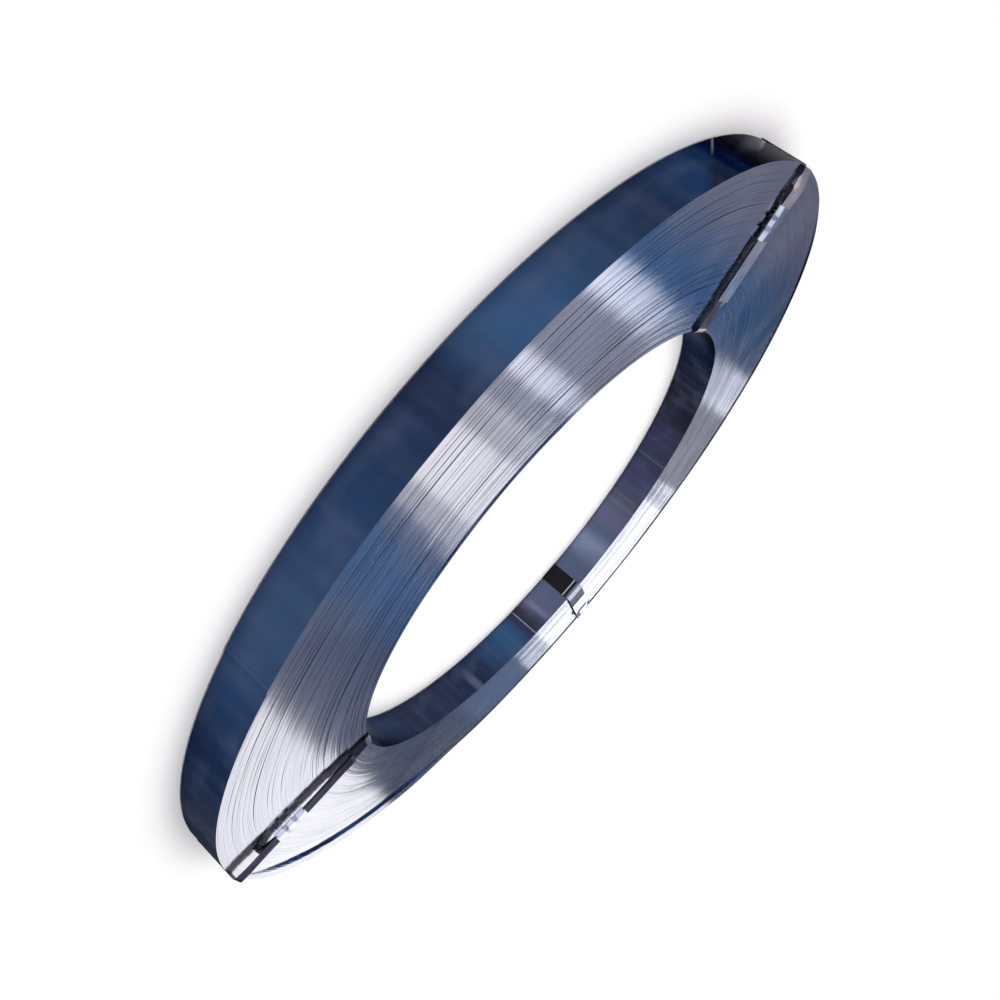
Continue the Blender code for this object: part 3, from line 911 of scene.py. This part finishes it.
def path_normals(path):
    """The unit normal in the radial plane at each point of a path."""
    normals = []
    for index, _ in enumerate(path):
        before = path[max(index - 1, 0)]
        after = path[min(index + 1, len(path) - 1)]
        along = Vector((after[0] - before[0], after[1] - before[1])).normalized()
        normals.append((-along[1], along[0]))
    return normals


def radial_frame(azimuth):
    """Places a piece drawn in the XZ plane, its width along Y, at an azimuth."""
    return Matrix.Rotation(math.radians(azimuth), 4, "Z")


def strap_section():
    """Offsets across the strap and along its normal, once round, with rounded slit edges."""
    half = BINDING_WIDTH / 2
    thick = BINDING_THICKNESS / 2
    ease = STRAP_EDGE_ROUND
    across = (half - ease, half / 2, 0.0, -half / 2, ease - half)
    upper = [(y, thick) for y in across]
    lower = [(-y, -thick) for y in across]
    near = [(-half, thick - ease), (-half, ease - thick)]
    far = [(half, ease - thick), (half, thick - ease)]
    return upper + near + lower + far


def strap_form(row, radius, height):
    """How much of its width the strap keeps at a point, how far it leans, in radians, and how
    steeply one edge is folded down.

    It is squeezed narrow inside the seal, leans where it runs free above the face, and is
    creased where it was pulled over the rim.
    """
    share = (radius - BORE_RADIUS) / (COIL_RADIUS - BORE_RADIUS)
    mouth, throat = SEAL_MOUTH
    seal_in, seal_out = row["seal_in"], row["seal_out"]
    inside = between(share, (seal_in + mouth, seal_in + throat), (seal_out - throat, seal_out - mouth))
    above = eased(height, COIL_TOP, COIL_TOP + CLEAR_OF_FACE)
    free = above * between(share, LEAN_FROM, LEAN_UNTIL)
    fold = above * between(share, CREASE_FROM, CREASE_UNTIL)
    return 1.0 - SQUEEZE * inside, math.radians(row["twist"]) * free, row["fold"] * fold


def build_strap(number, row, looks):
    """The strap: its outer face has the first look, the rest the second, painted dark as shade, its cut
    ends the third.
    """
    path = binding_path(row)
    section = strap_section()
    wide = len(section)
    place = radial_frame(row["azimuth"])
    points = []
    for (radius, height), (normal_r, normal_z) in zip(path, path_normals(path)):
        kept, lean, fold = strap_form(row, radius, height)
        for across, along in section:
            folded = max(0.0, across - BINDING_WIDTH / 4)
            up = height + along * normal_z + across * kept * math.sin(lean) - folded * fold
            points.append(place @ Vector((radius + along * normal_r, across * kept * math.cos(lean), up)))
    faces = []
    face_looks = []
    for step in range(len(path) - 1):
        base = step * wide
        for index in range(wide):
            after = (index + 1) % wide
            faces.append((base + index, base + after, base + wide + after, base + wide + index))
            face_looks.append(0 if index < 4 else 1)
    faces.append(tuple(reversed(range(wide))))
    faces.append(tuple(range((len(path) - 1) * wide, len(path) * wide)))
    face_looks += [2, 2]
    return mesh_piece(f"strap_{number}", points, faces, looks, face_looks)


# The seals.
def flap_corner(end, side, height, move):
    """An outer corner of a crimp's flap, moved from the crimp's end."""
    shift, reach, rise = move
    return end + shift, reach * side, height + rise


def seal_plates():
    """The plates of a seal, each as four corners: along it from its inner to its outer end as a
    share, across it in half widths, and up from its middle in steps from lip to crown."""
    plates = []

    def slope(start, end, first, second):
        """A plate between two edges, each given as its offset across and its two heights."""
        (across, near, far), (other_across, other_near, other_far) = first, second
        plates.append((
            (start, across, near), (end, across, far),
            (end, other_across, other_far), (start, other_across, other_near),
        ))

    flange, flange_foot = FLANGE_END
    for start, end, near, far in SEAL_PANELS:
        slope(start, end, (-PANEL_ROOF, near, far), (PANEL_ROOF, near, far))
        for side in (-1, 1):
            wall = (side, PANEL_FOOT, PANEL_FOOT)
            slope(start, end, (PANEL_ROOF * side, near, far), wall)
            slope(start, end, wall, (flange * side, flange_foot, flange_foot))
    for start, end, near, far in SEAL_CRIMPS:
        slope(start, end, (-CRIMP_ROOF, near, far), (CRIMP_ROOF, near, far))
        for side, flap in CRIMP_FLAPS:
            plates.append((
                (start, CRIMP_ROOF * side, near), (end, CRIMP_ROOF * side, far),
                flap_corner(end, side, flap, FLAP_FAR), flap_corner(start, side, flap, FLAP_NEAR),
            ))
    return plates


def build_seal(number, row, looks):
    """The crimped seal, from bent plates with bright cut edges: bare steel, brightened into painted
    highlight lines.
    """
    seal_in = face_radius(row["seal_in"])
    length = face_radius(row["seal_out"]) - seal_in
    middle = lifted(row["lift_seal"]) - (BINDING_THICKNESS + LAYER_GAP) / 2
    wall = BINDING_WIDTH / 2 + CLEARANCE + SEAL_SHEET / 2
    rise = (2 * BINDING_THICKNESS + LAYER_GAP) / 2 + CLEARANCE + SEAL_SHEET / 2
    place = radial_frame(row["azimuth"])
    points = []
    faces = []
    face_looks = []
    for plate in seal_plates():
        corners = [Vector((seal_in + length * s, wall * y, middle + rise * z)) for s, y, z in plate]
        normal = (corners[1] - corners[0]).cross(corners[3] - corners[0]).normalized() * (SEAL_SHEET / 2)
        base = len(points)
        points += [place @ (corner + normal) for corner in corners]
        points += [place @ (corner - normal) for corner in corners]
        faces += [(base, base + 1, base + 2, base + 3), (base + 7, base + 6, base + 5, base + 4)]
        face_looks += [0, 0]
        for index in range(4):
            after = (index + 1) % 4
            faces.append((base + after, base + index, base + 4 + index, base + 4 + after))
            face_looks.append(1)
    return mesh_piece(f"seal_{number}", points, faces, looks, face_looks)


# The studio.
def camera_matrix():
    """Where the camera stands and how it is turned."""
    back = Vector((0.0, -math.cos(CAMERA_ELEVATION), math.sin(CAMERA_ELEVATION)))
    right = Vector((1.0, 0.0, 0.0))
    level = Matrix((right, back.cross(right), back))
    turn = Matrix.Rotation(CAMERA_ROLL, 3, "Z") @ Matrix.Rotation(CAMERA_PITCH, 3, "X")
    axes = turn @ Matrix.Rotation(CAMERA_YAW, 3, "Y") @ level
    stand = back * CAMERA_DISTANCE + Vector((0.0, 0.0, COIL_TOP))
    return Matrix.Translation(stand) @ axes.transposed().to_4x4()


def add_camera():
    data = bpy.data.cameras.new("photo_camera")
    data.sensor_width = SENSOR_WIDTH
    data.lens = CAMERA_LENS
    data.clip_start, data.clip_end = CAMERA_CLIP
    camera = bpy.data.objects.new("photo_camera", data)
    camera.matrix_world = camera_matrix()
    bpy.context.scene.collection.objects.link(camera)
    bpy.context.scene.camera = camera


def add_lamp(name, place, target, size, brightness, colour):
    """A rectangular soft lamp that faces a point, with its surface's brightness given."""
    data = bpy.data.lights.new(name, "AREA")
    data.shape = "RECTANGLE"
    data.size, data.size_y = size
    data.energy = brightness * math.pi * size[0] * size[1]
    data.color = colour
    lamp = bpy.data.objects.new(name, data)
    facing = (Vector(place) - Vector(target)).to_track_quat("Z", "Y")
    lamp.matrix_world = Matrix.Translation(place) @ facing.to_matrix().to_4x4()
    lamp.visible_camera = False
    bpy.context.scene.collection.objects.link(lamp)


def add_strip_lamp(name, seen_from, bearing, width, low, high, brightness, colour):
    """An upright lamp, placed by its bearing and elevations as seen from a point of the floor."""
    angle = math.radians(bearing)
    foot = Vector((
        seen_from[0] + math.sin(angle) * LAMP_DISTANCE,
        seen_from[1] + math.cos(angle) * LAMP_DISTANCE,
        0.0,
    ))
    bottom = LAMP_DISTANCE * math.tan(math.radians(low))
    top = LAMP_DISTANCE * math.tan(math.radians(high))
    place = foot + Vector((0.0, 0.0, (bottom + top) / 2))
    target = Vector((*seen_from, place.z))
    breadth = 2 * LAMP_DISTANCE * math.tan(math.radians(width / 2))
    add_lamp(name, place, target, (breadth, top - bottom), brightness, colour)


def add_lamps():
    """The overhead lamp, the lamps behind the coil that its face mirrors, and a dimmer ring."""
    middle = (0.0, 0.0, 0.0)
    add_lamp("overhead", OVERHEAD_PLACE, middle, OVERHEAD_SIZE, OVERHEAD_BRIGHTNESS, OVERHEAD_COLOUR)
    for name, row in BACK_LAMPS.items():
        add_strip_lamp(name, CAMERA_FOOT, *row)
    for number, (bearing, width, brightness) in enumerate(ROUND_LAMPS, start=1):
        row = (bearing, width, *ROUND_LAMP_RISE, brightness, WHITE)
        add_strip_lamp(f"round_{number}", ROUND_LAMP_FOOT, *row)


def background_rays(nodes):
    """One where a ray comes from the camera or off or through something shiny."""
    path = nodes.add("ShaderNodeLightPath").outputs
    shiny = nodes.maths("MAXIMUM", path["Is Glossy Ray"], path["Is Transmission Ray"])
    return nodes.maths("MAXIMUM", path["Is Camera Ray"], shiny)


def add_floor():
    """A pale floor that goes over to the plain background away from the object."""
    half = FLOOR_SIZE / 2
    look = bpy.data.materials.new("pale_floor")
    nodes = Nodes(look)
    place = nodes.add("ShaderNodeTexCoord").outputs["Object"]
    radius = nodes.add("ShaderNodeVectorMath", {0: place}, operation="LENGTH").outputs["Value"]
    outside = nodes.maths("SUBTRACT", radius, COIL_RADIUS)
    away = nodes.maths("MAXIMUM", outside, nodes.maths("SUBTRACT", BORE_RADIUS, radius))
    colour = nodes.mix(nodes.span(nodes.noise(place, *FLOOR_GRAIN), *FLOOR_TONES), *FLOOR_COLOURS)
    matt = nodes.add("ShaderNodeBsdfDiffuse", {"Color": colour})
    plain = nodes.add("ShaderNodeEmission", {"Color": WHITE, "Strength": 1.0})
    share = nodes.product(nodes.smooth_step(away, 0.0, FADE_WIDTH), background_rays(nodes))
    mixed = nodes.add("ShaderNodeMixShader", {0: share, 1: matt.outputs[0], 2: plain.outputs[0]})
    nodes.shade(mixed.outputs[0])
    points = [(-half, -half, 0.0), (half, -half, 0.0), (half, half, 0.0), (-half, half, 0.0)]
    floor = mesh_piece("floor", points, [(0, 1, 2, 3)], [look])


def sky_step(nodes, height, low, high):
    """A smooth step up between two elevations."""
    return nodes.smooth_step(height, math.sin(math.radians(low)), math.sin(math.radians(high)))


def add_world():
    """A white backdrop low down all round, dim tinted walls above it and a grey ceiling."""
    world = bpy.data.worlds.new("studio")
    bpy.context.scene.world = world
    nodes = Nodes(world)
    direction = nodes.add("ShaderNodeTexCoord").outputs["Generated"]
    x, y, height = nodes.add("ShaderNodeSeparateXYZ", {0: direction}).outputs
    bearing = nodes.maths("DEGREES", nodes.maths("ARCTAN2", x, y))
    stops = [((at / WALL_SPAN + 1.0) / 2, colour) for at, colour in WALLS]
    walls = nodes.ramp(nodes.span(bearing, -WALL_SPAN, WALL_SPAN), stops)
    walls = nodes.mix(sky_step(nodes, height, *DIM_FOOT), nodes.mix(DIM_SHARE, walls, BLACK), walls)
    studio = nodes.mix(sky_step(nodes, height, *BACKDROP_FADE), WHITE, walls)
    studio = nodes.mix(sky_step(nodes, height, *WALL_FADE), studio, CEILING)
    camera_ray = nodes.add("ShaderNodeLightPath").outputs["Is Camera Ray"]
    shown = nodes.mix(camera_ray, studio, WHITE)
    back = nodes.add("ShaderNodeBackground", {"Color": shown, "Strength": 1.0})
    nodes.add("ShaderNodeOutputWorld", {"Surface": back.outputs[0]})


def main():
    edge = slit_edge_material()
    blued = blued_face_material()
    # The straps' undersides and sides, painted near black as shade.
    painted_underside = steel_material("binding_underside_painted_shade", *UNDERSIDE_SHADE_STEEL)
    # Cut edges: bare steel, brightened into painted highlight lines.
    cut = steel_material("cut_steel", *CUT_STEEL)
    zinc = steel_material("seal_zinc", *SEAL_ZINC)

    for piece in build_coil([edge, blued]):
        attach(piece, "root")
        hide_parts("coil")
    for number, row in enumerate(BINDINGS, start=1):
        # Each strap gets its own lit or shaded copy of the steel, painted for how light falls on it.
        binding = steel_material(f"binding_steel_{number}", *row["steel"], *STRAP_GRAIN, row)
        strap = build_strap(number, row, [binding, painted_underside, cut])
        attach(strap, "root")
        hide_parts(f"binding_strap_{number}")
        seal = build_seal(number, row, [zinc, cut])
        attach(seal, "root")
        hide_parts(f"binding_seal_{number}")

    add_floor()
    add_world()
    add_lamps()
    add_camera()
    bpy.context.scene.view_settings.view_transform = "Standard"


main()
